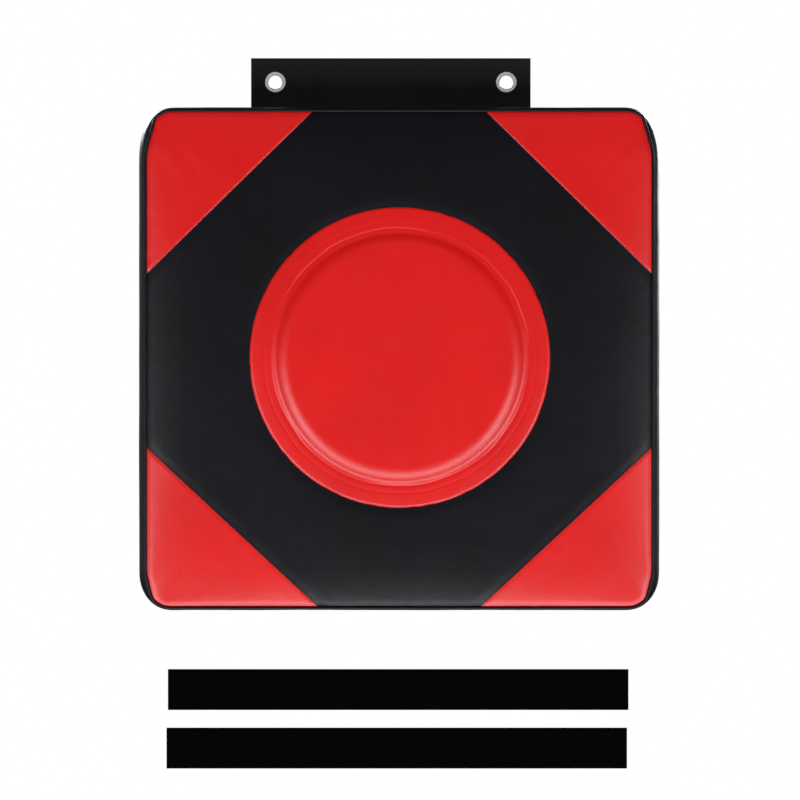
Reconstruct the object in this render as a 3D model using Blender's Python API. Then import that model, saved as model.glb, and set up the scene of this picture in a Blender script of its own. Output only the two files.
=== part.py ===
"""Wall punch pad: a square foam pad in a sewn cover, hung on a wall by an eyelet flap.

Metres, +Z up. The wall is the plane y = 0 and the pad faces -Y. The origin is on the
wall, midway between the two eyelets of the hanger flap. "Depth" below always means the
distance out from the wall, so a point at depth d has y = -d.
"""

import math

import bmesh
import bpy
from mathutils import Vector

MM = 0.001
GAP = 0.3 * MM  # clearance between pieces that touch on the real pad

# Pad, seen from the front
PAD_WIDTH = 400 * MM
PAD_HEIGHT = 387 * MM
PAD_CENTRE_X = 6.5 * MM  # the flap is sewn slightly off the middle of the pad
PAD_TOP_Z = -19 * MM
CORNER_RADIUS = 27 * MM
CORNER_STEPS = 6
HALF_WIDTH = PAD_WIDTH / 2
HALF_HEIGHT = PAD_HEIGHT / 2
PAD_CENTRE_Z = PAD_TOP_Z - HALF_HEIGHT

# Cover
LEATHER = 1.0 * MM
PIPING_RADIUS = 1.9 * MM
PIPING_INSET = 3.9 * MM
PIPING_SIDES = 8
PANEL_INSET = 6.2 * MM
BACK_DEPTH = 4.0 * MM  # the wall side of the back panels
FRONT_DEPTH = 51.5 * MM  # the outer side of the front panels
REAR_PIPING_DEPTH = 6.5 * MM
FRONT_PIPING_DEPTH = 49.0 * MM
GUSSET_BULGE = 3.4 * MM
GUSSET_STEPS = 6

# Front panels: an octagon with a round hole, four corners and the target
OCTAGON_HALF_TOP = 68.8 * MM
OCTAGON_HALF_LOW = 65.4 * MM
OCTAGON_SIDE_UP = 65.0 * MM
OCTAGON_SIDE_DOWN = 68.0 * MM
SEAM_HALF_GAP = GAP / 2
TARGET_X = 0.5 * MM
TARGET_Z = 1.1 * MM
TARGET_RADIUS = 115.5 * MM
TARGET_HEIGHT = 9.5 * MM  # of its flat top above the front panels
TARGET_STEPS = 48
# The target's section from its centre to its seam: radius, and height over the panels
TARGET_SECTION = (
    (0, TARGET_HEIGHT),
    (80 * MM, TARGET_HEIGHT),
    (87.5 * MM, 8.1 * MM),
    (93 * MM, 5.1 * MM),
    (97 * MM, 1.7 * MM),
    (101 * MM, 0.6 * MM),
    (TARGET_RADIUS, 0),
)

# Filling
BASE_FOAM = (7.6 * MM, 16.7 * MM)  # depths
CORE_FOAM = (17.0 * MM, 37.0 * MM)
FRONT_FOAM = (37.3 * MM, 50.2 * MM)
OUTER_FOAM_INSET = 6.4 * MM
CORE_FOAM_INSET = 2.7 * MM
TARGET_FOAM_RADIUS = 96.6 * MM

# Hanger flap: two layers, folding where it meets the pad
FLAP_WIDTH = 215.8 * MM
FLAP_TOP_Z = 18.6 * MM
FOLD_Z = -20.5 * MM
FOLD_DEPTH = 1.85 * MM
FOLD_HALF_GAP = 0.4 * MM
TAB_DEPTH = 1.4 * MM
TAB_LENGTH = 36 * MM
FLAP_LAYERS = ((0, LEATHER), (LEATHER + GAP, 2 * LEATHER + GAP))

# Eyelets
EYELET_SPACING = 178.3 * MM
EYELET_OUTER_R = 8.0 * MM
EYELET_HOLE_R = 5.15 * MM
BARREL_R = 5.7 * MM
EYELET_FLANGE = (2.6 * MM, 3.8 * MM)
EYELET_RIM = 0.4 * MM  # how much the flange's edges are bevelled
WASHER = (0.2 * MM, 1.0 * MM)
ROUND_STEPS = 32

# Hook and loop strips
STRIP_WIDTH = 356 * MM
STRIP_HEIGHT = 31.6 * MM
LOOP_DEPTHS = (2.2 * MM, 3.7 * MM)
LOOP_UPPER_Z = 48 * MM  # from the pad's centre
LOOP_LOWER_Z = -98 * MM
ADHESIVE_DEPTHS = (0, 0.4 * MM)
HOOK_DEPTHS = (0.7 * MM, 2.2 * MM)
UPPER_STRIP = (5.7 * MM, -63.3 * MM)  # x, and height from the pad's lower edge
LOWER_STRIP = (4.6 * MM, -108.6 * MM)

# Zip across the back, just above the lower edge
ZIP_Z = -146 * MM  # from the pad's centre
ZIP_HALF_LENGTH = 188 * MM
ZIP_SLIT_HALF = 5 * MM
COIL = (0.6 * MM, 3.0 * MM)  # edges, from the zip's centre line
COIL_DEPTHS = (3.9 * MM, 5.2 * MM)
TAPE_WIDTH = 15 * MM
TAPE_DEPTHS = (5.5 * MM, 6.0 * MM)
SLIDER_X = 165 * MM
SLIDER_LENGTH = 10 * MM
SLIDER_HALF_HEIGHT = 4 * MM
SLIDER_REAR = (2.7 * MM, 3.6 * MM)
SLIDER_FRONT = (6.3 * MM, 7.1 * MM)
SLIDER_LIP = 0.7 * MM
SLIDER_LIP_DEPTH = 5.2 * MM
POST_HALF_LENGTH = 2 * MM
POST_HALF_HEIGHT = 0.3 * MM
BRIDGE_DEPTHS = (0.9 * MM, 1.6 * MM)
BRIDGE_HALF_LENGTH = 4 * MM
BRIDGE_FOOT = 1.0 * MM
BRIDGE_HALF_HEIGHT = 1.2 * MM
JOIN = 0.2 * MM  # how far joined blocks run into each other
TAB_PIVOT_X = -2.2 * MM  # from the slider's centre
TAB_PIVOT_DEPTH = 2.15 * MM
TAB_BAR = 0.6 * MM
TAB_HOLE_LENGTH = 7.1 * MM
TAB_HOLE_HALF = 1.9 * MM
TAB_HALF = 3.2 * MM
TAB_TIP_HALF = 2.4 * MM
PULL_LENGTH = 22 * MM
PULL_TAPER_START = 12.1 * MM  # from the bar

# Modelling
CUT_CLEARANCE = 1 * MM  # how far a cutter runs past the faces it cuts
MERGE_DISTANCE = 0.001 * MM
SHARP_ANGLE = math.radians(35)
EMPTY_SIZE = 20 * MM


def clear_scene():
    for obj in list(bpy.data.objects):
        bpy.data.objects.remove(obj, do_unlink=True)


def linear(channel):
    """An 8-bit sRGB channel as linear light."""
    c = channel / 255
    return c / 12.92 if c <= 0.04045 else ((c + 0.055) / 1.055) ** 2.4


def material(name, rgb, roughness, metallic=0.0):
    mat = bpy.data.materials.new(name)
    mat.use_nodes = True
    shader = mat.node_tree.nodes["Principled BSDF"]
    shader.inputs["Base Color"].default_value = (*map(linear, rgb), 1)
    shader.inputs["Roughness"].default_value = roughness
    shader.inputs["Metallic"].default_value = metallic
    return mat


def empty(name, location, parent=None):
    """A joint's or a body's frame. Its world location is given, also under a parent."""
    obj = bpy.data.objects.new(name, None)
    obj.empty_display_size = EMPTY_SIZE
    bpy.context.collection.objects.link(obj)
    obj.parent = parent
    obj.location = location - origin_of(parent) if parent else location
    return obj


def origin_of(obj):
    """The world origin of an unrotated object or empty."""
    place = Vector(obj.location)
    return place + origin_of(obj.parent) if obj.parent else place


def add_object(name, bm, mat, parent, at):
    """Makes an object of the bmesh, whose vertices are given about the world point at."""
    bmesh.ops.recalc_face_normals(bm, faces=bm.faces)
    mesh = bpy.data.meshes.new(name)
    bm.to_mesh(mesh)
    bm.free()
    mesh.materials.append(mat)
    mesh.shade_smooth()
    mesh.set_sharp_from_angle(angle=SHARP_ANGLE)
    obj = bpy.data.objects.new(name, mesh)
    bpy.context.collection.objects.link(obj)
    obj.parent = parent
    obj.location = at - origin_of(parent)
    return obj


def prism(outline, depths):
    """A bmesh of the (x, z) outline, from one depth to the other."""
    bm = bmesh.new()
    face = bm.faces.new([bm.verts.new((x, -depths[0], z)) for x, z in outline])
    grown = bmesh.ops.extrude_face_region(bm, geom=[face])
    moved = [v for v in grown["geom"] if isinstance(v, bmesh.types.BMVert)]
    bmesh.ops.translate(bm, verts=moved, vec=(0, depths[0] - depths[1], 0))
    return bm


def rectangle(x0, x1, z0, z1):
    return [(x0, z0), (x1, z0), (x1, z1), (x0, z1)]


def centred(half_x, half_z):
    return rectangle(-half_x, half_x, -half_z, half_z)


def corner_arc(sx, sz, inset):
    """Points round one corner of the pad's outline, anticlockwise from the front."""
    radius = CORNER_RADIUS - inset
    centre_x = sx * (HALF_WIDTH - CORNER_RADIUS)
    centre_z = sz * (HALF_HEIGHT - CORNER_RADIUS)
    start = math.degrees(math.atan2(sz, sx)) - 45
    angles = [math.radians(start + 90 * i / CORNER_STEPS) for i in range(CORNER_STEPS + 1)]
    return [(centre_x + radius * math.cos(a), centre_z + radius * math.sin(a)) for a in angles]


def pad_outline(inset):
    corners = ((1, 1), (-1, 1), (-1, -1), (1, -1))
    return [point for sx, sz in corners for point in corner_arc(sx, sz, inset)]


def swept_ring(section):
    """A bmesh of a closed (inset, depth) section swept round the pad's outline."""
    bm = bmesh.new()
    loops = [
        [bm.verts.new((x, -depth, z)) for x, z in pad_outline(inset)]
        for inset, depth in section
    ]
    for first, second in zip(loops, loops[1:] + loops[:1]):
        for i, vert in enumerate(first):
            j = (i + 1) % len(first)
            bm.faces.new((vert, first[j], second[j], second[i]))
    return bm


def turned(section, steps, closed=True):
    """A bmesh of a (radius, depth) section turned about the depth axis."""
    bm = bmesh.new()
    verts = [bm.verts.new((radius, -depth, 0)) for radius, depth in section]
    pairs = zip(verts, verts[1:] + verts[:1]) if closed else zip(verts, verts[1:])
    edges = [bm.edges.new(pair) for pair in pairs]
    bmesh.ops.spin(
        bm, geom=verts + edges, cent=(0, 0, 0), axis=(0, 1, 0), angle=2 * math.pi,
        steps=steps, use_merge=True,
    )
    bmesh.ops.remove_doubles(bm, verts=bm.verts, dist=MERGE_DISTANCE)
    return bm


def boolean(obj, operation, other_bm, at):
    """Cuts or joins a helper shape, given about the world point at, to an object."""
    name = f"{obj.name}_{operation.lower()}_{len(obj.modifiers)}"
    helper = add_object(name, other_bm, obj.data.materials[0], obj.parent, at)
    helper.hide_render = True
    helper.display_type = "WIRE"
    modifier = obj.modifiers.new(operation.title(), "BOOLEAN")
    modifier.operation = operation
    modifier.object = helper
    modifier.solver = "EXACT"


def round_hole(obj, radius, depths, at):
    start, end = depths[0] - CUT_CLEARANCE, depths[1] + CUT_CLEARANCE
    section = ((0, start), (radius, start), (radius, end), (0, end))
    boolean(obj, "DIFFERENCE", turned(section, ROUND_STEPS, closed=False), at)


def front_covers(parent, at, red, black):
    """The octagon with its round hole, and the four corner panels."""
    half_x = HALF_WIDTH - PANEL_INSET
    half_z = HALF_HEIGHT - PANEL_INSET
    depths = (FRONT_DEPTH - LEATHER, FRONT_DEPTH)
    shy = SEAM_HALF_GAP * math.sqrt(2)
    sides = {1: OCTAGON_SIDE_UP, -1: OCTAGON_SIDE_DOWN}
    ends = {1: OCTAGON_HALF_TOP, -1: OCTAGON_HALF_LOW}
    octagon = []
    for sx, sz in ((1, 1), (-1, 1), (-1, -1), (1, -1)):
        side_point = (sx * half_x, sz * (sides[sz] - shy))
        end_point = (sx * (ends[sz] - shy), sz * half_z)
        ordered = [side_point, end_point] if sx * sz > 0 else [end_point, side_point]
        octagon += ordered
        corner = corner_arc(sx, sz, PANEL_INSET)
        start = (sx * half_x, sz * (sides[sz] + shy))
        end = (sx * (ends[sz] + shy), sz * half_z)
        outline = [start, *corner, end] if sx * sz > 0 else [end, *corner, start]
        name = f"corner_panel_{'top' if sz > 0 else 'bottom'}_{'right' if sx > 0 else 'left'}"
        add_object(name, prism(outline, depths), red, parent, at)
    panel = add_object("octagon_panel", prism(octagon, depths), black, parent, at)
    start, end = depths[0] - CUT_CLEARANCE, depths[1] + CUT_CLEARANCE
    hole_r = TARGET_RADIUS + GAP
    section = ((0, start), (hole_r, start), (hole_r, end), (0, end))
    cutter = turned(section, TARGET_STEPS, closed=False)
    boolean(panel, "DIFFERENCE", cutter, at + Vector((TARGET_X, 0, TARGET_Z)))


def target(parent, at, red, foam):
    """The raised round cover, and the foam disc under it."""
    place = at + Vector((TARGET_X, 0, TARGET_Z))
    outer = [(radius, FRONT_DEPTH + rise) for radius, rise in TARGET_SECTION]
    inner = [(radius, depth - LEATHER) for radius, depth in reversed(outer)]
    shell = turned(outer + inner, TARGET_STEPS, closed=False)
    add_object("target_cover", shell, red, parent, place)
    under = LEATHER + GAP
    crown = [(r, d - under) for r, d in outer if r < TARGET_FOAM_RADIUS]
    base = FRONT_FOAM[1] + GAP
    crown += [(TARGET_FOAM_RADIUS, base + LEATHER), (TARGET_FOAM_RADIUS, base), (0, base)]
    add_object("target_foam", turned(crown, TARGET_STEPS, closed=False), foam, parent, place)


def filling(parent, at, base_foam, foam):
    layers = (
        ("foam_base_layer", BASE_FOAM, OUTER_FOAM_INSET, base_foam),
        ("foam_core", CORE_FOAM, CORE_FOAM_INSET, foam),
        ("foam_front_layer", FRONT_FOAM, OUTER_FOAM_INSET, foam),
    )
    for name, depths, inset, mat in layers:
        add_object(name, prism(pad_outline(inset), depths), mat, parent, at)


def piping_section(depth):
    angles = [2 * math.pi * i / PIPING_SIDES for i in range(PIPING_SIDES)]
    return [
        (PIPING_INSET + PIPING_RADIUS * math.cos(a), depth + PIPING_RADIUS * math.sin(a))
        for a in angles
    ]


def gusset_section():
    """The side band: seamed to both pipings and bulging between them."""
    start = REAR_PIPING_DEPTH + PIPING_RADIUS + GAP
    end = FRONT_PIPING_DEPTH - PIPING_RADIUS - GAP
    outer = []
    for i in range(GUSSET_STEPS + 1):
        along = i / GUSSET_STEPS
        inset = GUSSET_BULGE * (2 * along - 1) ** 2
        outer.append((inset, start + (end - start) * along))
    inner = [(inset + LEATHER, depth) for inset, depth in reversed(outer)]
    return outer + inner


def sides(parent, at, black):
    add_object("gusset", swept_ring(gusset_section()), black, parent, at)
    for name, depth in (("rear_piping", REAR_PIPING_DEPTH), ("front_piping", FRONT_PIPING_DEPTH)):
        add_object(name, swept_ring(piping_section(depth)), black, parent, at)


def back_covers(parent, at, black):
    """Two back panels, parted by the zip."""
    depths = (BACK_DEPTH, BACK_DEPTH + LEATHER)
    half_x = HALF_WIDTH - PANEL_INSET
    above = ZIP_Z + ZIP_SLIT_HALF
    below = ZIP_Z - ZIP_SLIT_HALF
    top_left, top_right = corner_arc(-1, 1, PANEL_INSET), corner_arc(1, 1, PANEL_INSET)
    low_left, low_right = corner_arc(-1, -1, PANEL_INSET), corner_arc(1, -1, PANEL_INSET)
    upper = [*top_right, *top_left, (-half_x, above), (half_x, above)]
    lower = [(half_x, below), (-half_x, below), *low_left, *low_right]
    add_object("back_panel_upper", prism(upper, depths), black, parent, at)
    add_object("back_panel_lower", prism(lower, depths), black, parent, at)


def zip_closure(parent, at, tape, coil):
    for side, sign in (("upper", 1), ("lower", -1)):
        edges = sorted((sign * COIL[0], sign * COIL[1]))
        outline = rectangle(-ZIP_HALF_LENGTH, ZIP_HALF_LENGTH, *edges)
        add_object(f"zip_coil_{side}", prism(outline, COIL_DEPTHS), coil, parent, at)
        edges = sorted((sign * COIL[0], sign * TAPE_WIDTH))
        outline = rectangle(-ZIP_HALF_LENGTH, ZIP_HALF_LENGTH, *edges)
        add_object(f"zip_tape_{side}", prism(outline, TAPE_DEPTHS), tape, parent, at)


def zip_slider(parent, at, metal):
    """Two wings joined by a thin post between the coils, lips round them, and a bridge."""
    half = SLIDER_LENGTH / 2
    wing = prism(centred(half, SLIDER_HALF_HEIGHT), SLIDER_REAR)
    slider = add_object("zip_slider", wing, metal, parent, at)
    blocks = [
        (centred(half, SLIDER_HALF_HEIGHT), SLIDER_FRONT),
        (centred(POST_HALF_LENGTH, POST_HALF_HEIGHT), (SLIDER_REAR[1] - JOIN, SLIDER_FRONT[0] + JOIN)),
    ]
    for sign in (1, -1):
        lip = sorted((sign * SLIDER_HALF_HEIGHT, sign * (SLIDER_HALF_HEIGHT - SLIDER_LIP)))
        lip_depths = (SLIDER_REAR[1] - JOIN, SLIDER_LIP_DEPTH)
        blocks.append((rectangle(-half, half, *lip), lip_depths))
        foot = sorted((sign * BRIDGE_HALF_LENGTH, sign * (BRIDGE_HALF_LENGTH - BRIDGE_FOOT)))
        foot_depths = (BRIDGE_DEPTHS[1] - JOIN, SLIDER_REAR[0] + JOIN)
        outline = rectangle(*foot, -BRIDGE_HALF_HEIGHT, BRIDGE_HALF_HEIGHT)
        blocks.append((outline, foot_depths))
    blocks.append((centred(BRIDGE_HALF_LENGTH, BRIDGE_HALF_HEIGHT), BRIDGE_DEPTHS))
    for outline, depths in blocks:
        boolean(slider, "UNION", prism(outline, depths), at)


def zip_pull(parent, at, metal):
    """A flat pull whose bar lies under the slider's bridge. It points along -X at rest."""
    near = TAB_BAR / 2
    tip = -PULL_LENGTH
    depths = (-TAB_BAR / 2, TAB_BAR / 2)
    shoulder = -PULL_TAPER_START
    outline = [
        (near, -TAB_HALF), (near, TAB_HALF), (shoulder, TAB_HALF),
        (tip, TAB_TIP_HALF), (tip, -TAB_TIP_HALF), (shoulder, -TAB_HALF),
    ]
    pull = add_object("zip_pull_tab", prism(outline, depths), metal, parent, at)
    eye = rectangle(-near - TAB_HOLE_LENGTH, -near, -TAB_HOLE_HALF, TAB_HOLE_HALF)
    boolean(pull, "DIFFERENCE", prism(eye, (-MM, MM)), at)


def loop_strips(parent, at, loop):
    outline = centred(STRIP_WIDTH / 2, STRIP_HEIGHT / 2)
    for side, z in (("upper", LOOP_UPPER_Z), ("lower", LOOP_LOWER_Z)):
        place = at + Vector((0, 0, z))
        add_object(f"loop_strip_{side}", prism(outline, LOOP_DEPTHS), loop, parent, place)


def wall_strip(side, place, hook, adhesive):
    """One adhesive hook strip on the wall, in a body of its own."""
    x, drop = place
    at = Vector((x, 0, PAD_TOP_Z - PAD_HEIGHT + drop))
    frame = empty(f"hook_strip_{side}_frame", at)
    outline = centred(STRIP_WIDTH / 2, STRIP_HEIGHT / 2)
    add_object(f"hook_strip_{side}", prism(outline, HOOK_DEPTHS), hook, frame, at)
    film = f"adhesive_backing_{side}"
    add_object(film, prism(outline, ADHESIVE_DEPTHS), adhesive, frame, at)


def hanger(parent, eyelet_places, black, metal):
    """The flap on the wall above the fold, with its eyelets and their washers."""
    outline = rectangle(-FLAP_WIDTH / 2, FLAP_WIDTH / 2, FOLD_Z + FOLD_HALF_GAP, FLAP_TOP_Z)
    origin = Vector((0, 0, 0))
    holes = (EYELET_OUTER_R + GAP, BARREL_R + GAP)
    for side, depths, hole_r in zip(("rear", "front"), FLAP_LAYERS, holes):
        name = f"hanger_flap_{side}_layer"
        layer = add_object(name, prism(outline, depths), black, parent, origin)
        for at in eyelet_places.values():
            round_hole(layer, hole_r, depths, at)
    flange_in, flange_out = EYELET_FLANGE
    barrel_end = WASHER[0]
    eyelet = (
        (EYELET_HOLE_R, barrel_end), (BARREL_R, barrel_end), (BARREL_R, flange_in),
        (EYELET_OUTER_R, flange_in), (EYELET_OUTER_R, flange_in + EYELET_RIM),
        (EYELET_OUTER_R - 2 * EYELET_RIM, flange_out),
        (EYELET_HOLE_R + EYELET_RIM, flange_out),
        (EYELET_HOLE_R, flange_out - EYELET_RIM),
    )
    inner_r = BARREL_R + GAP
    washer = (
        (inner_r, WASHER[0]), (EYELET_OUTER_R, WASHER[0]),
        (EYELET_OUTER_R, WASHER[1]), (inner_r, WASHER[1]),
    )
    for side, at in eyelet_places.items():
        add_object(f"eyelet_{side}", turned(eyelet, ROUND_STEPS), metal, parent, at)
        add_object(f"eyelet_washer_{side}", turned(washer, ROUND_STEPS), metal, parent, at)


def sewn_tab(parent, black):
    """The flap below the fold, sewn to the back of the pad."""
    top = FOLD_Z - FOLD_HALF_GAP
    outline = rectangle(-FLAP_WIDTH / 2, FLAP_WIDTH / 2, top - TAB_LENGTH, top)
    at = Vector((0, -TAB_DEPTH, 0))
    for side, depths in zip(("rear", "front"), FLAP_LAYERS):
        add_object(f"sewn_tab_{side}_layer", prism(outline, depths), black, parent, at)


def main():
    clear_scene()
    red = material("red_leather", (216, 30, 32), 0.35)
    black = material("black_leather", (26, 25, 29), 0.4)
    flap_black = material("flap_leather", (20, 19, 21), 0.7)
    nickel = material("nickel", (205, 205, 208), 0.25, metallic=1.0)
    foam = material("sponge", (226, 222, 206), 0.95)
    base_foam = material("firm_foam", (58, 58, 62), 0.9)
    hook = material("hook_tape", (8, 8, 9), 0.9)
    loop = material("loop_tape", (14, 14, 16), 1.0)
    adhesive = material("adhesive", (232, 228, 214), 0.5)
    tape = material("zip_tape", (22, 22, 24), 0.95)
    coil = material("zip_coil", (30, 30, 33), 0.45)

    origin = Vector((0, 0, 0))
    pad_centre = Vector((PAD_CENTRE_X, 0, PAD_CENTRE_Z))
    hanger_frame = empty("hanger_frame", origin)
    pad_frame = empty("pad_fold", Vector((0, -FOLD_DEPTH, FOLD_Z)), hanger_frame)

    half_spacing = EYELET_SPACING / 2
    eyelet_places = {
        "left": Vector((-half_spacing, 0, 0)),
        "right": Vector((half_spacing, 0, 0)),
    }
    hanger(hanger_frame, eyelet_places, flap_black, nickel)
    sewn_tab(pad_frame, flap_black)
    front_covers(pad_frame, pad_centre, red, black)
    target(pad_frame, pad_centre, red, foam)
    sides(pad_frame, pad_centre, black)
    back_covers(pad_frame, pad_centre, black)
    filling(pad_frame, pad_centre, base_foam, foam)
    loop_strips(pad_frame, pad_centre, loop)

    zip_centre = pad_centre + Vector((0, 0, ZIP_Z))
    zip_closure(pad_frame, zip_centre, tape, coil)
    slider_at = zip_centre + Vector((SLIDER_X, 0, 0))
    slider_frame = empty("zip_slider_frame", slider_at, pad_frame)
    zip_slider(slider_frame, slider_at, nickel)
    pull_at = slider_at + Vector((TAB_PIVOT_X, -TAB_PIVOT_DEPTH, 0))
    pull_frame = empty("zip_pull_frame", pull_at, slider_frame)
    zip_pull(pull_frame, pull_at, nickel)

    wall_strip("upper", UPPER_STRIP, hook, adhesive)
    wall_strip("lower", LOWER_STRIP, hook, adhesive)


main()
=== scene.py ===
"""Looks of the wall punch pad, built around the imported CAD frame.

Metres, +Z up, the wall at y = 0 and the pad facing -Y. "Depth" is the distance out from the
wall, so y = -depth. Outlines of the pad are (x, z) about its own centre, seen from the front.
"""

import math

import bmesh
import bpy
import numpy as np
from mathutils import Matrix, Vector, bvhtree, geometry, kdtree, noise


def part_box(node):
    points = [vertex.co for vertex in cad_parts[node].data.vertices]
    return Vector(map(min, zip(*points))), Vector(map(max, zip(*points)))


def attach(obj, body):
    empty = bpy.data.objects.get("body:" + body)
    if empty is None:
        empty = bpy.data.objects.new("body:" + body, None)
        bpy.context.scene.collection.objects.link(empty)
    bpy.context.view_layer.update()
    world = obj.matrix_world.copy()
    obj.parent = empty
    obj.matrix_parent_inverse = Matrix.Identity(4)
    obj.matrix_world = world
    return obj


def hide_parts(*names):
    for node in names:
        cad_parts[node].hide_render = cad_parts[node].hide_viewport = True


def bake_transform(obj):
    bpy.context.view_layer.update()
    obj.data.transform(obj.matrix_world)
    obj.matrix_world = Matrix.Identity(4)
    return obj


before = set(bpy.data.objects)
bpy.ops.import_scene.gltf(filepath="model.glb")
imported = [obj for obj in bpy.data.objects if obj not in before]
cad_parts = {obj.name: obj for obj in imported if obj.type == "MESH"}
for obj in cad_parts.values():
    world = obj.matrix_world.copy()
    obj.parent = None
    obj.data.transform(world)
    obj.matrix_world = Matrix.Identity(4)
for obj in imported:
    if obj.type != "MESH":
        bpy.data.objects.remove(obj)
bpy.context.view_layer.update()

MM = 0.001


# ---- dimensions, from the frame


def size_of(node):
    low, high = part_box(node)
    return high - low


def middle_of(node):
    low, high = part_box(node)
    return (low + high) / 2


def depths_of(node):
    """A node's depths, nearest the wall first."""
    low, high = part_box(node)
    return -high.y, -low.y


PAD_X, PAD_Z = middle_of("gusset").x, middle_of("gusset").z
HALF_WIDTH = size_of("gusset").x / 2
HALF_HEIGHT = size_of("gusset").z / 2
PIPING_RADIUS = size_of("front_piping").y / 2
PIPING_INSET = HALF_WIDTH - size_of("front_piping").x / 2 + PIPING_RADIUS
FRONT_PIPING = -middle_of("front_piping").y
REAR_PIPING = -middle_of("rear_piping").y
PANEL_DEPTH = depths_of("octagon_panel")[1]
BACK_DEPTH = depths_of("back_panel_upper")[0]
LEATHER = size_of("octagon_panel").y
TARGET_X = middle_of("target_cover").x - PAD_X
TARGET_Z = middle_of("target_cover").z - PAD_Z
TARGET_R = size_of("target_cover").x / 2
TARGET_RISE = depths_of("target_cover")[1] - PANEL_DEPTH
OCTAGON_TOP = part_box("corner_panel_top_right")[0].x - PAD_X
OCTAGON_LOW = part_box("corner_panel_bottom_right")[0].x - PAD_X
OCTAGON_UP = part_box("corner_panel_top_right")[0].z - PAD_Z
OCTAGON_DOWN = PAD_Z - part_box("corner_panel_bottom_right")[1].z

# ---- shape of the pad

OUTLINE_STEP = 2.6 * MM
SHORTEST_EDGE = 0.3 * MM
SHARP_TURN = math.radians(25)
# Corner size across and down, and its squareness, at the top and at the bottom
TOP_CORNER = (27 * MM, 40 * MM, 2.25)
LOW_CORNER = (25 * MM, 29 * MM, 2.1)
ARC_SHARE = 0.8  # a quarter ellipse's length, as a share of its two radii together
TREE_STEP = 0.8 * MM
PANEL_EDGE_INSET = PIPING_INSET + PIPING_RADIUS - 0.1 * MM
# How far in the face's edge lies, by the way the outline faces there: 0 degrees at the sides, 90
# at the top and bottom. The face bows between corners that are sharper than the pad's own.
FACING = (0, 14, 30, 48, 70, 90)
TOP_INSETS = np.array((5.8, 7.3, 6.4, 3.4, 3.4, 3.6)) * MM
LOW_INSETS = np.array((5.8, 6.7, 5.6, 3.2, 2.8, 2.9)) * MM
FRONT_SEAM = FRONT_PIPING - 0.9 * MM
PANEL_EDGE_DEPTH = FRONT_SEAM - 0.2 * MM
EDGE_ROLL = 27 * MM
FACE_DEPTH = PANEL_DEPTH + 2.5 * MM
CROWN = 1.2 * MM
# The red leather rolls down into each seam, and the black only sinks a little towards it
RED_VALLEY, RED_REACH = 0.9 * MM, 2.2 * MM
BLACK_VALLEY, BLACK_REACH = 0.35 * MM, 7 * MM
SEAM_GAP = 0.03 * MM
PUCKER = 0.14 * MM
PUCKER_REACH = 9 * MM
PUCKER_SIZE = 7 * MM
UNEVEN, UNEVEN_SIZE = 0.3 * MM, 62 * MM
FINE_STEP = 1.6 * MM
RIM_STEP = 0.55 * MM
RIM_CLEAR = 0.97  # of that step, within which a rim point is too near another edge
FILL_CLEAR = 0.75  # of the fine step, the same for the points inside
COARSE_STEP = 3.4 * MM
TAPE_MESH = 1.6  # how much coarser the tapes' meshes are
FINE_BAND = 6 * MM
SAME_POINT = 1e-7  # metres within which the mesher joins two points
FOLD_ANGLE = 50  # degrees past which a sheet's edge is shaded sharp

# ---- small helpers


def smooth(t):
    t = np.clip(t, 0, 1)
    return t * t * (3 - 2 * t)


def quarter_round(t):
    """0 at t = 0, rising steeply and levelling off to 1 at t = 1."""
    t = np.clip(t, 0, 1)
    return np.sqrt(1 - (1 - t) ** 2)


def wander(x, z, scale, seed):
    """Smooth noise from -1 to 1 at each point, with features of that scale in metres."""
    return np.array(
        [noise.noise(Vector((a / scale, seed, b / scale))) for a, b in zip(x, z)]
    )


def finish_mesh(obj, mat, sharp=None):
    mesh = obj.data
    mesh.materials.clear()
    if mat:
        mesh.materials.append(mat)
    mesh.shade_smooth()
    if sharp:
        mesh.set_sharp_from_angle(angle=math.radians(sharp))
    return obj


def new_object(name, verts, faces, mat, sharp=None):
    mesh = bpy.data.meshes.new(name)
    mesh.from_pydata([tuple(v) for v in verts], [], [tuple(f) for f in faces])
    mesh.update()
    obj = bpy.data.objects.new(name, mesh)
    bpy.context.scene.collection.objects.link(obj)
    return finish_mesh(obj, mat, sharp)


def outward(obj):
    bm = bmesh.new()
    bm.from_mesh(obj.data)
    bmesh.ops.recalc_face_normals(bm, faces=bm.faces)
    bm.to_mesh(obj.data)
    bm.free()
    return obj


def grid_faces(rows, columns, wrap_rows=False, wrap_columns=True):
    """Quads of a rows x columns grid of vertices."""
    faces = []
    for i in range(rows if wrap_rows else rows - 1):
        for j in range(columns if wrap_columns else columns - 1):
            a, b = i * columns + j, i * columns + (j + 1) % columns
            k = (i + 1) % rows
            faces.append((a, b, k * columns + (j + 1) % columns, k * columns + j))
    return faces


def row_frame(x, depth, z):
    """Pad-centred outline points and depths as vertices in the row frame."""
    return np.column_stack([np.asarray(x) + PAD_X, -np.asarray(depth), np.asarray(z) + PAD_Z])


# ---- the pad's outline


def right_of(along):
    """Unit vectors square to each direction, on its right."""
    across = np.column_stack([along[:, 1], -along[:, 0]])
    return across / np.linalg.norm(across, axis=1)[:, None]


def corner_points(sx, sz):
    across, down, power = TOP_CORNER if sz > 0 else LOW_CORNER
    steps = int((across + down) * ARC_SHARE / OUTLINE_STEP)
    angles = np.linspace(0, math.pi / 2, steps)
    if sx * sz < 0:
        angles = angles[::-1]
    x = HALF_WIDTH - across + across * np.cos(angles) ** (2 / power)
    z = HALF_HEIGHT - down + down * np.sin(angles) ** (2 / power)
    return np.column_stack([sx * x, sz * z])


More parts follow.
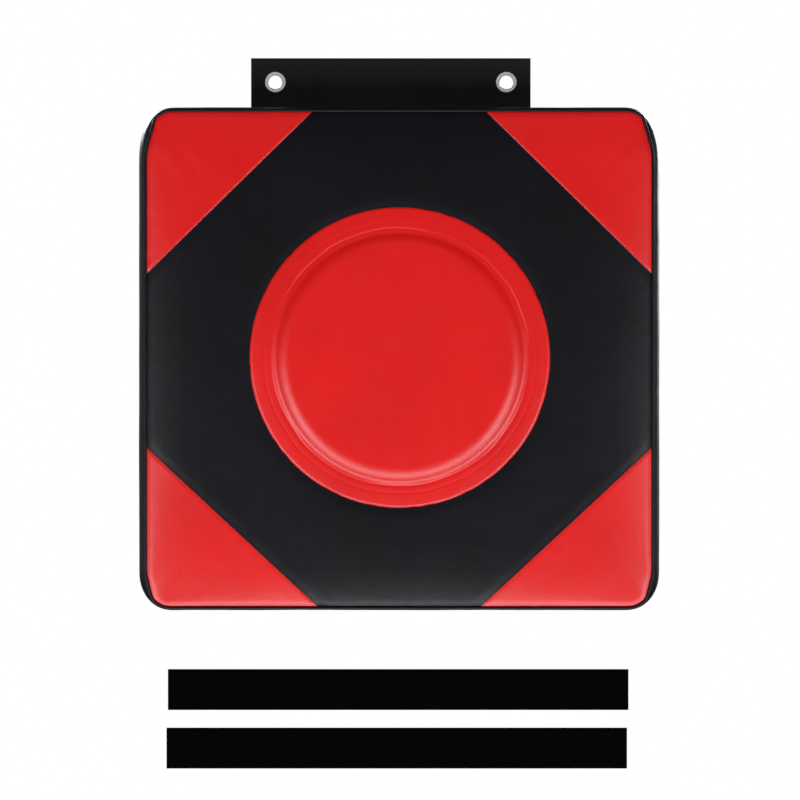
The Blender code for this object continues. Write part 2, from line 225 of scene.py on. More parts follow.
def spaced(line, count_for):
    """Points evenly along a line, without its end. count_for gives their number from its length."""
    along = np.concatenate([[0], np.cumsum(np.linalg.norm(np.diff(line, axis=0), axis=1))])
    places = np.linspace(0, along[-1], count_for(along[-1]), endpoint=False)
    return np.column_stack([np.interp(places, along, line[:, i]) for i in (0, 1)])


def even_points(points, step):
    """A closed line through the points, sampled evenly."""
    return spaced(np.vstack([points, points[:1]]), lambda length: int(length / step))


def sampled(outline, step):
    """A closed outline sampled about every step, with its sharp corners kept."""
    gaps = np.linalg.norm(outline - np.roll(outline, 1, axis=0), axis=1)
    outline = outline[gaps > SHORTEST_EDGE]
    heading = np.roll(outline, -1, axis=0) - outline
    heading = heading[:, 0] + 1j * heading[:, 1]
    turn = np.abs(np.angle(heading / np.roll(heading, 1)))
    sharp = np.flatnonzero(turn > SHARP_TURN)
    if len(sharp) == 0:
        return even_points(outline, step)
    pieces, n = [], len(outline)
    for a, b in zip(sharp, np.append(sharp[1:], sharp[0] + n)):
        run = outline[np.arange(a, b + 1) % n]
        pieces.append(spaced(run, lambda length: max(1, round(length / step))))
    return np.vstack(pieces)


def make_outline():
    """The pad's outer edge from the front, anticlockwise, and the outward normals there."""
    corners = ((1, 1), (-1, 1), (-1, -1), (1, -1))
    points = even_points(np.vstack([corner_points(*c) for c in corners]), OUTLINE_STEP)
    return points, right_of(np.roll(points, -2, axis=0) - np.roll(points, 2, axis=0))


def face_inset():
    """How far in the face's edge lies at each point of the outline."""
    facing = np.degrees(np.arctan2(np.abs(NORMALS[:, 1]), np.abs(NORMALS[:, 0])))
    top, low = np.interp(facing, FACING, TOP_INSETS), np.interp(facing, FACING, LOW_INSETS)
    return np.where(OUTLINE[:, 1] > 0, top, low)


OUTLINE, NORMALS = make_outline()
FACE_INSET = face_inset()
EDGE = OUTLINE - FACE_INSET[:, None] * NORMALS
BACK_EDGE = OUTLINE - PANEL_EDGE_INSET * NORMALS


def tree_of(points):
    tree = kdtree.KDTree(len(points))
    for i, (x, z) in enumerate(points):
        tree.insert((x, 0, z), i)
    tree.balance()
    return tree


EDGE_TREE = tree_of(even_points(EDGE, TREE_STEP))
BACK_EDGE_TREE = tree_of(even_points(BACK_EDGE, TREE_STEP))


def distance_to(tree, points):
    return np.array([tree.find((x, 0, z))[2] for x, z in points])


# Each diagonal seam, from the top or bottom edge to the side
DIAGONALS = {
    (sx, sz): (
        np.array(
            [sx * (OCTAGON_TOP if sz > 0 else OCTAGON_LOW), sz * (HALF_HEIGHT - PANEL_EDGE_INSET)]
        ),
        np.array(
            [sx * (HALF_WIDTH - PANEL_EDGE_INSET), sz * (OCTAGON_UP if sz > 0 else OCTAGON_DOWN)]
        ),
    )
    for sx in (1, -1)
    for sz in (1, -1)
}


def beyond_diagonal(points, corner):
    """Distance past a diagonal seam towards its corner of the pad, negative before it."""
    a, b = DIAGONALS[corner]
    along = (b - a) / np.linalg.norm(b - a)
    normal = np.array([along[1], -along[0]])
    if normal @ np.array(corner) < 0:
        normal = -normal
    return (points - a) @ normal


def from_target(points):
    """Distance outside the target's seam, negative inside it."""
    return np.hypot(points[:, 0] - TARGET_X, points[:, 1] - TARGET_Z) - TARGET_R


# ---- the front's surface


def from_seam(points):
    diagonal = np.min([np.abs(beyond_diagonal(points, c)) for c in DIAGONALS], axis=0)
    return np.minimum(diagonal, np.abs(from_target(points)))


def is_red(points):
    corner = np.max([beyond_diagonal(points, c) for c in DIAGONALS], axis=0)
    return (corner > 0) | (from_target(points) < 0)


def reach_along(points, axis):
    """Distance along one axis to the face's edge on the point's own side of the middle."""
    other = 1 - axis
    side = np.where(points[:, axis] < 0, -1, 1)
    reach = np.zeros(len(points))
    for sign in (1, -1):
        half = EDGE[sign * EDGE[:, axis] > 0]
        half = half[np.argsort(half[:, other])]
        edge = np.interp(points[:, other], half[:, other], sign * half[:, axis])
        reach = np.where(side == sign, edge - sign * points[:, axis], reach)
    return np.maximum(reach, 0)


def edge_gap(points):
    """Distance inside the face's edge, easing off where two sides are equally near."""
    across, up = reach_along(points, 0), reach_along(points, 1)
    return across * up / np.maximum(np.hypot(across, up), 0.01 * MM)


def plain_front(points):
    """Depth of the front before it is stuffed: a rolled edge and a low crown."""
    roll = 1 - (1 - np.clip(edge_gap(points) / EDGE_ROLL, 0, 1)) ** 2
    x, z = points[:, 0] / HALF_WIDTH, points[:, 1] / HALF_HEIGHT
    crown = (1 - x * x) * (1 - z * z)
    return PANEL_EDGE_DEPTH + (FACE_DEPTH - PANEL_EDGE_DEPTH) * roll + CROWN * crown


SIM_STEP = 4.5 * MM
SIM_FRAMES = 20
SIM_CAP = 5 * MM
SEAM_HOLD = 0.15
SIM_LEATHER = {
    "quality": 6,
    "mass": 0.3,
    "vertex_group_mass": "sewn",
    "pin_stiffness": 1.0,
    "tension_stiffness": 12,
    "compression_stiffness": 12,
    "shear_stiffness": 4,
    "bending_stiffness": 0.4,
    "use_pressure": True,
    "uniform_pressure_force": 3.4,
    "shrink_min": 0.003,
}


def simulated_swell():
    """The front's swell, from a short cloth simulation of the cover, held at its seams."""
    cover = sheet_mesh("stuffed_cover", [EDGE], plain_front, level(REAR_PIPING), None)
    remesh = cover.modifiers.new("even", "REMESH")
    remesh.mode = "VOXEL"
    remesh.voxel_size = SIM_STEP
    before = applied(cover)
    flat = before[:, [0, 2]] - (PAD_X, PAD_Z)
    edge, seam = distance_to(EDGE_TREE, flat), from_seam(flat)
    sewn = np.maximum(1 - smooth((edge - SIM_STEP / 2) / SIM_STEP), SEAM_HOLD * (seam < SIM_STEP))
    sewn[(-before[:, 1] < PANEL_EDGE_DEPTH) | (from_target(flat) < 0)] = 1
    group = cover.vertex_groups.new(name="sewn")
    for i, weight in enumerate(sewn):
        group.add([i], float(weight), "REPLACE")

    cloth = cover.modifiers.new("cloth", "CLOTH")
    for key, value in SIM_LEATHER.items():
        setattr(cloth.settings, key, value)
    cloth.settings.effector_weights.gravity = 0
    cloth.point_cache.frame_start, cloth.point_cache.frame_end = 1, SIM_FRAMES
    for step in range(1, SIM_FRAMES + 1):
        bpy.context.scene.frame_set(step)
    after = applied(cover)
    bpy.context.scene.frame_set(1)
    moved = np.clip(before[:, 1] - after[:, 1], -SIM_CAP, SIM_CAP)
    after = before.copy()
    after[:, 1] -= moved
    surfaces = [smoothed_surface(cover, points) for points in (before, after)]
    bpy.data.objects.remove(cover)

    def swell(points):
        depths = [ray_depths(tree, points) for tree in surfaces]
        return depths[1] - depths[0]

    return swell


def applied(obj):
    """Applies the object's modifiers and returns its vertices."""
    graph = bpy.context.evaluated_depsgraph_get()
    graph.update()
    mesh = bpy.data.meshes.new_from_object(obj.evaluated_get(graph))
    obj.modifiers.clear()
    obj.data = mesh
    return np.array([tuple(v.co) for v in mesh.vertices])


def smoothed_surface(obj, verts):
    """A ray-cast tree of the mesh with its vertices moved there, subdivided smoothly."""
    mesh = obj.data.copy()
    mesh.vertices.foreach_set("co", verts.ravel())
    copy = bpy.data.objects.new("smoothed", mesh)
    bpy.context.scene.collection.objects.link(copy)
    copy.modifiers.new("smooth", "SUBSURF").levels = 2
    graph = bpy.context.evaluated_depsgraph_get()
    tree = bvhtree.BVHTree.FromObject(copy, graph)
    bpy.data.objects.remove(copy)
    return tree


def ray_depths(tree, points):
    """Depth of the surface that a line towards the wall meets first at each point."""
    depths = np.zeros(len(points))
    for i, (x, z) in enumerate(points):
        hit = tree.ray_cast((x + PAD_X, -1, z + PAD_Z), (0, 1, 0))[0]
        depths[i] = -hit.y if hit else 0
    return depths


def front_depth(points):
    """Depth of the finished front, with a valley along each seam and small puckers."""
    inside, seam = distance_to(EDGE_TREE, points), from_seam(points)
    near = np.exp(-np.minimum(seam, inside) / PUCKER_REACH)
    depth = plain_front(points) + swell(points)
    rolled = RED_VALLEY * (1 - quarter_round(seam / RED_REACH))
    sunk = BLACK_VALLEY * (1 - smooth(seam / BLACK_REACH))
    depth -= np.where(is_red(points), rolled, sunk)
    x, z = points.T
    depth += PUCKER * near * wander(x, z, PUCKER_SIZE, seed=3.1)
    return depth + UNEVEN * smooth(inside / EDGE_ROLL) * wander(x, z, UNEVEN_SIZE, seed=8.4)


def polygon_contains(polygon, points):
    inside = np.zeros(len(points), bool)
    x, z = points[:, 0], points[:, 1]
    for (ax, az), (bx, bz) in zip(polygon, np.roll(polygon, -1, axis=0)):
        crosses = (az > z) != (bz > z)
        if crosses.any():
            at = ax + (z - az) / (bz - az if bz != az else 1) * (bx - ax)
            inside ^= crosses & (x < at)
    return inside


def clip(polygon, distance):
    """The part of a polygon where distance(points) is below 0."""
    values = distance(polygon)
    kept = []
    for i in range(len(polygon)):
        j = (i + 1) % len(polygon)
        if values[i] < 0:
            kept.append(polygon[i])
        if (values[i] < 0) != (values[j] < 0):
            share = values[i] / (values[i] - values[j])
            kept.append(polygon[i] + share * (polygon[j] - polygon[i]))
    return np.array(kept)


def rim_points(outlines, offset):
    """A row of points that far inside every edge, to hold the shape of a seam."""
    rows = []
    for outline in outlines:
        across = right_of(np.roll(outline, -1, axis=0) - np.roll(outline, 1, axis=0))
        rows += [outline + offset * across, outline - offset * across]
    points = np.vstack(rows)
    clear = distance_to(tree_of(np.vstack(outlines)), points) > RIM_CLEAR * offset
    return points[clear & inside_all(outlines, points)]


def inside_all(outlines, points):
    inside = polygon_contains(outlines[0], points)
    for hole in outlines[1:]:
        inside &= ~polygon_contains(hole, points)
    return inside


def fill_points(outlines, scale):
    """Points inside the outlines: fine near an edge, coarse elsewhere."""
    everything = np.vstack(outlines)
    low, high = everything.min(axis=0), everything.max(axis=0)
    tree = tree_of(everything)
    chosen = []
    fine, coarse = FINE_STEP * scale, COARSE_STEP * scale
    for step, near, far in ((fine, FILL_CLEAR * fine, FINE_BAND), (coarse, FINE_BAND, 1)):
        rows = np.arange(low[1], high[1], step * math.sqrt(3) / 2)
        for k, z in enumerate(rows):
            xs = np.arange(low[0] + (k % 2) * step / 2, high[0], step)
            row = np.column_stack([xs, np.full(len(xs), z)])
            reach = np.array([tree.find((x, 0, z))[2] for x in xs])
            chosen.append(row[(reach >= near) & (reach < far)])
    points = np.vstack(chosen)
    return points[inside_all(outlines, points)]


def sheet_mesh(name, outlines, front_of, back_of, mat, edge_drop=0.0, scale=1.0):
    """A closed piece with the given outline and holes, between two depths of (points).

    edge_drop brings both faces together a little along the edges, and scale coarsens the mesh.
    """
    outlines = [sampled(o, FINE_STEP * scale) for o in outlines]
    boundary = np.vstack(outlines)
    inner = [rim_points(outlines, RIM_STEP)] if scale == 1 else []
    points = np.vstack([boundary, *inner, fill_points(outlines, scale)])
    edges, start = [], 0
    for outline in outlines:
        n = len(outline)
        edges += [(start + i, start + (i + 1) % n) for i in range(n)]
        start += n
    made = geometry.delaunay_2d_cdt([Vector(p) for p in points], edges, [], 0, SAME_POINT)
    flat = np.array([tuple(v) for v in made[0]])
    from_input = np.array([min(ids) if ids else len(points) for ids in made[3]])
    on_edge = from_input < len(boundary)
    faces = np.array(made[2])
    faces = faces[inside_all(outlines, flat[faces].mean(axis=1))]
    front, back = front_of(flat), back_of(flat)
    squeeze = np.where(on_edge, edge_drop, 0) * np.sign(front - back)
    count = len(flat)
    verts = np.vstack([row_frame(flat[:, 0], front - squeeze, flat[:, 1]),
                       row_frame(flat[:, 0], back + squeeze, flat[:, 1])])
    sides = np.concatenate([faces[:, [0, 1]], faces[:, [1, 2]], faces[:, [2, 0]]])
    _, index, uses = np.unique(
        np.sort(sides, axis=1), axis=0, return_index=True, return_counts=True
    )
    all_faces = [tuple(f) for f in faces]
    all_faces += [tuple(count + f[::-1]) for f in faces]
    all_faces += [(b, a, a + count, b + count) for a, b in sides[index[uses == 1]]]
    return outward(new_object(name, verts, all_faces, mat, sharp=FOLD_ANGLE))


def behind(depth_of, thickness):
    return lambda points: depth_of(points) - thickness


def level(depth, ripple=0.0):
    """A flat face at that depth, uneven by ripple."""
    def depth_of(points):
        return depth + ripple * wander(*points.T, 30 * MM, seed=0.0)

    return depth_of


def box_outline(low_x, high_x, low_z, high_z):
    return np.array([(low_x, low_z), (high_x, low_z), (high_x, high_z), (low_x, high_z)])


def circle(x, z, r, count=72):
    angles = np.linspace(0, 2 * math.pi, count, endpoint=False)
    return np.column_stack([x + r * np.cos(angles), z + r * np.sin(angles)])


def node_outline(node):
    """A node's rectangle, about the pad's centre."""
    low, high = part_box(node)
    return box_outline(low.x - PAD_X, high.x - PAD_X, low.z - PAD_Z, high.z - PAD_Z)


def front_panels(red, black):
    hole = circle(TARGET_X, TARGET_Z, TARGET_R + SEAM_GAP, 360)
    rear = behind(front_depth, LEATHER)
    octagon = EDGE
    for corner in DIAGONALS:
        octagon = clip(octagon, lambda p, c=corner: beyond_diagonal(p, c) + SEAM_GAP)
        panel = clip(EDGE, lambda p, c=corner: SEAM_GAP - beyond_diagonal(p, c))
        upright, side = "top" if corner[1] > 0 else "bottom", "right" if corner[0] > 0 else "left"
        node = f"corner_panel_{upright}_{side}"
        obj = sheet_mesh(node + "_skin", [panel], front_depth, rear, red)
        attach(obj, "pad")
        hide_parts(node)
    obj = sheet_mesh("octagon_panel_skin", [octagon, hole], front_depth, rear, black)
    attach(obj, "pad")
    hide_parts("octagon_panel")


# Thread on the red side of the diagonal seams, coloured paler than the leather as a painted
# highlight of the red's rolled edge
SEAM_THREAD = 0.2 * MM
SEAM_THREAD_LENGTH = 1.9 * MM
SEAM_PITCH = 2.4 * MM
SEAM_THREAD_INSET = 0.6 * MM


def seam_threads(mat):
    """Specks of pale pink thread in the diagonal seams, on their red side. They are paler than the
    leather, so they are partly thread and partly a painted highlight: the light line along the
    red's rolled seam edge.
    """
    places = []
    for corner, (a, b) in DIAGONALS.items():
        length = np.linalg.norm(b - a)
        along = (b - a) / length
        inward = np.array([along[1], -along[0]])
        inward *= np.sign(inward @ np.array(corner))
        steps = np.arange(SEAM_PITCH, length - SEAM_PITCH, SEAM_PITCH) / length
        points = a + steps[:, None] * (b - a) + SEAM_THREAD_INSET * inward
        points = points[distance_to(EDGE_TREE, points) > SEAM_PITCH / 2]
        centres = row_frame(points[:, 0], front_depth(points) + SEAM_THREAD / 2, points[:, 1])
        direction = Vector((along[0], 0, along[1]))
        places += [(Vector(c), direction, Vector(OUT_FRONT)) for c in centres]
    stitches("seam_threads", places, mat, "pad", SEAM_THREAD_LENGTH, SEAM_THREAD)


# ---- the raised target

TARGET_SPOKES = 300
FLAT_R = 0.73 * TARGET_R
FOOT_R = 0.85 * TARGET_R
TARGET_TOP = PANEL_DEPTH + TARGET_RISE
RING_RISE = 1.6 * MM  # how much of the target's height its flat outer ring climbs
RING_ROLL = 1.6  # how far in that climb ends, in widths of the ring
TURN, DROP = 0.76, 0.2  # where the shoulder turns from round to hollow, across and up
CREASES = ((FOOT_R + 1.0 * MM, 0.6 * MM), (0.905 * TARGET_R, 0.22 * MM))  # radius and depth
CREASE_WIDTH = 1.0 * MM
CREASE_WANDER = 0.9 * MM
TARGET_CENTRE_R = 3 * MM
TARGET_FINE = 3 * MM  # how far above the shoulder's foot the rows get closer
TARGET_ROWS = (22, 18, 44)


def target_depth(radius, angle):
    """Depth of the target's leather at a radius and an angle about its centre."""
    across, up = np.cos(angle), np.sin(angle)
    ground = front_depth(np.column_stack([TARGET_X + radius * across, TARGET_Z + radius * up]))
    share = np.clip((radius - FLAT_R) / (FOOT_R - FLAT_R), 0, 1)
    shoulder = np.where(share < TURN, 1 - (1 - DROP) * (share / TURN) ** 2,
                        DROP * (1 - (share - TURN) / (1 - TURN)) ** 2)
    ring = quarter_round((TARGET_R - radius) / (TARGET_R - FOOT_R) / RING_ROLL)
    top = TARGET_TOP - FACE_DEPTH - CROWN
    rise = RING_RISE * ring + (top - RING_RISE) * shoulder
    # The creases wander and fade on the way round, whatever the radius
    x, z = 50 * MM * across, 50 * MM * up
    wobble = CREASE_WANDER * wander(x, z, 9 * MM, seed=5.5)
    strength = 0.55 + 0.45 * wander(x, z, 23 * MM, seed=1.5)
    for crease_r, deep in CREASES:
        off = (radius - crease_r - wobble) / CREASE_WIDTH
        rise -= deep * strength * np.exp(-(off**2))
    return ground + rise


def target_skin(red):
    """The round red cover, turned from its section with creases that wander."""
    top, shoulder, ring = TARGET_ROWS
    radii = np.concatenate([
        np.linspace(TARGET_CENTRE_R, FLAT_R, top, endpoint=False),
        np.linspace(FLAT_R, FOOT_R - TARGET_FINE, shoulder, endpoint=False),
        np.linspace(FOOT_R - TARGET_FINE, TARGET_R, ring),
    ])
    angles = np.linspace(0, 2 * math.pi, TARGET_SPOKES, endpoint=False)
    radius, angle = (g.ravel() for g in np.meshgrid(radii, angles, indexing="ij"))
    depth = target_depth(radius, angle)
    x, z = TARGET_X + radius * np.cos(angle), TARGET_Z + radius * np.sin(angle)
    middle = target_depth(np.array([0.0]), np.array([0.0]))[0]
    outer = row_frame(x, depth, z)
    inner = row_frame(x, depth - LEATHER, z)
    centres = row_frame([TARGET_X] * 2, [middle, middle - LEATHER], [TARGET_Z] * 2)
    verts = np.vstack([outer, inner, centres])
    rows, n, total = len(radii), TARGET_SPOKES, len(radius)
    faces = grid_faces(rows, n)
    faces += [tuple(total + i for i in reversed(f)) for f in grid_faces(rows, n)]
    last = (rows - 1) * n
    for j in range(n):
        k = (j + 1) % n
        faces.append((j, 2 * total, k))
        faces.append((total + k, 2 * total + 1, total + j))
        faces.append((last + j, last + k, total + last + k, total + last + j))
    obj = outward(new_object("target_skin", verts, faces, red, FOLD_ANGLE))
    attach(obj, "pad")
    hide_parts("target_cover")


# ---- sides and piping


def swept(name, section_of, mat, sharp=None):
    """A closed ring: section_of() gives (inset, depth) arrays, one row per section point."""
    inset, depth = section_of()
    x = OUTLINE[None, :, 0] - inset * NORMALS[None, :, 0]
    z = OUTLINE[None, :, 1] - inset * NORMALS[None, :, 1]
    verts = row_frame(x.ravel(), depth.ravel(), z.ravel())
    faces = grid_faces(len(inset), len(OUTLINE), wrap_rows=True)
    return outward(new_object(name, verts, faces, mat, sharp))


PIPING_SIDES = 14


def piping_section(depth, inset, radius, seed):
    """A round cord, a little uneven in thickness and in depth."""
    def section():
        angles = np.linspace(0, 2 * math.pi, PIPING_SIDES, endpoint=False)[:, None]
        thick = radius * (1 + 0.06 * wander(*OUTLINE.T, 11 * MM, seed)[None, :])
        drift = 0.2 * MM * wander(*OUTLINE.T, 45 * MM, seed + 4)[None, :]
        return inset + thick * np.cos(angles), depth + drift + thick * np.sin(angles)

    return section


FRONT_CORD = 1.35 * MM
GUSSET_TUCKS = (0.4 * MM, 1.9 * FRONT_CORD)  # how far the band goes under each piping
GUSSET_WAVES = ((0.25 * MM, 48 * MM), (0.22 * MM, 9 * MM))  # size and length, long and short
GUSSET_PUCKER_REACH = 7 * MM
GUSSET_ROWS = 24
GUSSET_FULLNESS = 0.4 * MM
GUSSET_LEAN = 1.9 * MM  # how much lower the band's top lies at the back, clear of the eyelets
GUSSET_BULGE = 15 * MM  # how far from a seam the band takes to reach its full width


def gusset_section():
    """The side band, tucked in at both seams and bulging between them."""
    start = REAR_PIPING + PIPING_RADIUS * 0.75
    end = FRONT_SEAM - FRONT_CORD * 0.7
    along = np.linspace(0, 1, GUSSET_ROWS)[:, None]
    seam = (1 - along) * (PIPING_INSET - GUSSET_TUCKS[0])
    seam = seam + along * (FACE_INSET - GUSSET_TUCKS[1])[None]
    gap = np.minimum(along, 1 - along) * (end - start)
    bulge = quarter_round(gap / GUSSET_BULGE)
    (long_size, long_length), (short_size, short_length) = GUSSET_WAVES
    long_wave = long_size * wander(*OUTLINE.T, long_length, seed=2.2)[None, :]
    pucker = short_size * wander(*OUTLINE.T, short_length, seed=6.6)[None, :]
    lean = GUSSET_LEAN * np.clip(NORMALS[:, 1], 0, 1)[None, :] * (1 - along)
    inset = seam * (1 - bulge) + (lean - GUSSET_FULLNESS) * bulge
    inset = inset - long_wave * bulge - pucker * np.exp(-gap / GUSSET_PUCKER_REACH)
    depth = start + (end - start) * along + 0 * inset
    return (
        np.vstack([inset, (inset + LEATHER)[::-1]]),
        np.vstack([depth, depth[::-1]]),
    )


def pad_sides(black):
    obj = swept("gusset_band", gusset_section, black, sharp=60)
    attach(obj, "pad")
    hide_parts("gusset")
    for node, depth, inset, radius, seed in (
        ("front_piping", FRONT_SEAM, FACE_INSET[None] - 0.9 * FRONT_CORD, FRONT_CORD, 1.0),
        ("rear_piping", REAR_PIPING, PIPING_INSET, PIPING_RADIUS, 9.0),
    ):
        section = piping_section(depth, inset, radius, seed)
        obj = swept(node + "_cord", section, black)
        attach(obj, "pad")
        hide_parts(node)


# ---- foam

FOAM_EDGE_DROP = 0.8 * MM
FOAM_MESH, TARGET_FOAM_MESH = 2.5, 1.8  # how much coarser these meshes are
FOAM_CLEARANCE = 0.15 * MM
FOAM_EDGE = 1.2 * MM  # how far inside the face's edge the outer layers stop
TARGET_FOAM_EDGE = 2 * MM
FOAM_UNEVEN = 0.1 * MM


def foam_block(node, inset, front_of, back_of, mat):
    outline = OUTLINE - inset * NORMALS
    obj = sheet_mesh(node + "_block", [outline], front_of, back_of, mat,
                     FOAM_EDGE_DROP, FOAM_MESH)
    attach(obj, "pad")
    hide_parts(node)


def foam(sponge, firm):
    def under_front(points):
        return plain_front(points) + swell(points) - RED_VALLEY - LEATHER - 3 * FOAM_CLEARANCE

    core, front, base = (
        depths_of(n) for n in ("foam_core", "foam_front_layer", "foam_base_layer")
    )
    edge = FACE_INSET.max() + FOAM_EDGE
    foam_block("foam_base_layer", edge, level(base[1]), level(base[0], FOAM_UNEVEN), firm)
    core_inset = HALF_WIDTH - size_of("foam_core").x / 2
    foam_block("foam_core", core_inset, level(core[1]), level(core[0]), sponge)
    foam_block("foam_front_layer", edge, under_front, level(front[0]), sponge)

    def under_cover(points):
        x, z = points[:, 0] - TARGET_X, points[:, 1] - TARGET_Z
        return target_depth(np.hypot(x, z), np.arctan2(z, x)) - LEATHER - FOAM_CLEARANCE

    disc = circle(TARGET_X, TARGET_Z, size_of("target_foam").x / 2 - TARGET_FOAM_EDGE, 240)
    on_front = behind(under_front, -FOAM_CLEARANCE)
    obj = sheet_mesh("target_foam_block", [disc], under_cover, on_front, sponge,
                     scale=TARGET_FOAM_MESH)
    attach(obj, "pad")
    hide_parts("target_foam")


# ---- thread

STITCH_PITCH = 3.3 * MM
STITCH_LENGTH = 2.5 * MM
THREAD = 0.27 * MM
STITCH_RINGS = ((-1, 0.4), (-0.62, 0.95), (0, 1.05), (0.62, 0.95), (1, 0.4))
STITCH_SIDES = 6


def rod_faces(rings, sides):
    """Faces of a closed rod made of rings of vertices."""
    faces = grid_faces(rings, sides)
    faces.append(tuple(reversed(range(sides))))
    last = (rings - 1) * sides
    faces.append(tuple(last + k for k in range(sides)))
    return faces


def copies(name, template, faces, origins, frames, mat, body, sharp=None):
    """One mesh of many copies of a template, each in its own frame of three row vectors."""
    placed = origins[:, None, :] + np.einsum("kc,ncd->nkd", template, frames)
    size = len(template)
    every = [tuple(n * size + i for i in f) for n in range(len(origins)) for f in faces]
    obj = outward(new_object(name, placed.reshape(-1, 3), every, mat, sharp))
    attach(obj, body)
    return obj


def stitches(name, places, mat, body, length=STITCH_LENGTH, radius=THREAD):
    """Real thread: one short arched piece for each (centre, direction, outward) in places."""
    template = [
        (t * length / 2, y * full, z * full - radius * t * t)
        for t, full in STITCH_RINGS
        for y, z in circle(0, 0, radius, STITCH_SIDES)
    ]
    centres, directions, outs = (np.array([tuple(p[i]) for p in places]) for i in range(3))
    frames = np.stack([directions, np.cross(directions, outs), outs], axis=1)
    faces = rod_faces(len(STITCH_RINGS), STITCH_SIDES)
    return copies(name, np.array(template), faces, centres, frames, mat, body)


def along_line(start, end, pitch, out):
    """Stitch places from start to end, one every pitch."""
    start, end = Vector(start), Vector(end)
    run = end - start
    count = max(1, int(run.length / pitch))
    direction = run.normalized()
    return [(start + run * ((i + 0.5) / count), direction, Vector(out)) for i in range(count)]


OUT_FRONT = (0, -1, 0)
OUT_BACK = (0, 1, 0)


def around(low_x, high_x, low_z, high_z, depth, pitch, out):
    corners = [(low_x, low_z), (high_x, low_z), (high_x, high_z), (low_x, high_z)]
    corners = [Vector((x, -depth, z)) for x, z in corners]
    return [
        place
        for a, b in zip(corners, corners[1:] + corners[:1])
        for place in along_line(a, b, pitch, out)
    ]


# ---- hanger flap and eyelets

FOLD_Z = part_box("sewn_tab_front_layer")[1].z
FOLD_HALF = 4.5 * MM
FLAP_ROW_TOP = 6 * MM  # stitch rows, from the flap's top and sides
FLAP_ROW_LOW = 10 * MM  # above the fold
FLAP_DIP, FLAP_DIP_WIDTH = 0.22 * MM, 1.6 * MM
FLAP_EDGE_DROP = 0.22 * MM
FLAP_THREAD_SINK, TAB_THREAD_SINK = 0.12 * MM, 0.1 * MM
# Each layer, the other one, the radius of its holes and how deep its stitch rows pull in
FLAP_LAYERS = (
    ("front", "rear", 6.0 * MM, FLAP_DIP),
    ("rear", "front", 8.3 * MM, 0.0),
)


def flap_depth(above, below, dip=0.0):
    """From the depth above the fold to the depth below it, dipping along the stitch rows."""
    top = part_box("hanger_flap_front_layer")[1].z
    rows = (top - FLAP_ROW_TOP, FOLD_Z + FLAP_ROW_LOW)

    def depth_of(points):
        z = points[:, 1] + PAD_Z
        share = smooth((FOLD_Z - z + FOLD_HALF) / (2 * FOLD_HALF))
        depth = above + (below - above) * share
        for row in rows:
            depth = depth - dip * np.exp(-(((z - row) / FLAP_DIP_WIDTH) ** 2))
        return depth + dip * 0.6 * wander(*points.T, 34 * MM, seed=4.4)

    return depth_of


def flap(mat):
    low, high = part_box("hanger_flap_front_layer")
    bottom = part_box("sewn_tab_front_layer")[0].z
    outline = box_outline(low.x - PAD_X, high.x - PAD_X, bottom - PAD_Z, high.z - PAD_Z)
    for layer, other, hole_r, dip in FLAP_LAYERS:
        upper, lower = f"hanger_flap_{layer}_layer", f"sewn_tab_{layer}_layer"
        above, below = depths_of(upper), depths_of(lower)
        holes = [
            circle(middle_of(e).x - PAD_X, middle_of(e).z - PAD_Z, hole_r)
            for e in ("eyelet_left", "eyelet_right")
        ]
        front = flap_depth(above[1], below[1], dip)
        back = flap_depth(above[0], below[0])
        obj = sheet_mesh(f"hanger_flap_{layer}", [outline] + holes, front, back, mat,
                         FLAP_EDGE_DROP)
        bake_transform(obj)
        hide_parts(upper, lower)


def flap_thread(thread):
    """Stitch rows across and down the flap, and round the tab that is sewn to the back."""
    low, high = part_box("hanger_flap_front_layer")
    depth = depths_of("hanger_flap_front_layer")[1] - FLAP_THREAD_SINK
    inset = FLAP_ROW_TOP
    places = []
    for z in (high.z - FLAP_ROW_TOP, FOLD_Z + FLAP_ROW_LOW):
        places += along_line((low.x + inset, -depth, z), (high.x - inset, -depth, z),
                             STITCH_PITCH, OUT_FRONT)
    for x in (low.x + inset / 2, high.x - inset / 2):
        places += along_line((x, -depth, FOLD_Z + FLAP_ROW_LOW), (x, -depth, high.z - inset / 2),
                             STITCH_PITCH, OUT_FRONT)
    stitches("flap_stitching", places, thread, "hanger")

    tab_depth = depths_of("sewn_tab_rear_layer")[0] + TAB_THREAD_SINK
    tab_low, tab_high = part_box("sewn_tab_rear_layer")
    places = around(tab_low.x + inset / 2, tab_high.x - inset / 2, tab_low.z + inset / 2,
                    tab_high.z - 2 * FOLD_HALF, tab_depth, STITCH_PITCH, OUT_BACK)
    stitches("tab_stitching", places, thread, "pad")


def turned(name, centre, section, mat, steps=72):
    """A ring turned about the Y axis through centre, from (radius, depth) points."""
    verts = [
        (x, -depth, z)
        for radius, depth in section
        for x, z in circle(centre.x, centre.z, radius, steps)
    ]
    faces = grid_faces(len(section), steps, wrap_rows=True)
    return outward(new_object(name, verts, faces, mat, sharp=35))


def arc_section(centre, radii, start, end, steps):
    """Points of an elliptical arc in a section, angles in degrees."""
    angles = np.radians(np.linspace(start, end, steps))
    return [(centre[0] + radii[0] * math.cos(a), centre[1] + radii[1] * math.sin(a))
            for a in angles]


EYELET_HOLE = 5.15 * MM
EYELET_WALL = 0.5 * MM
EYELET_END = 0.45 * MM  # depth at which the barrel ends
GROOVE_OUT, LIP_OUT = 0.85 * MM, 0.4 * MM  # the groove and the inner lip, from the hole's edge
LIP_DROP = 0.25 * MM
DOME_DROP = 0.1 * MM
WASHER_PLAY = 0.25 * MM
WASHER_BEVEL = 0.3 * MM


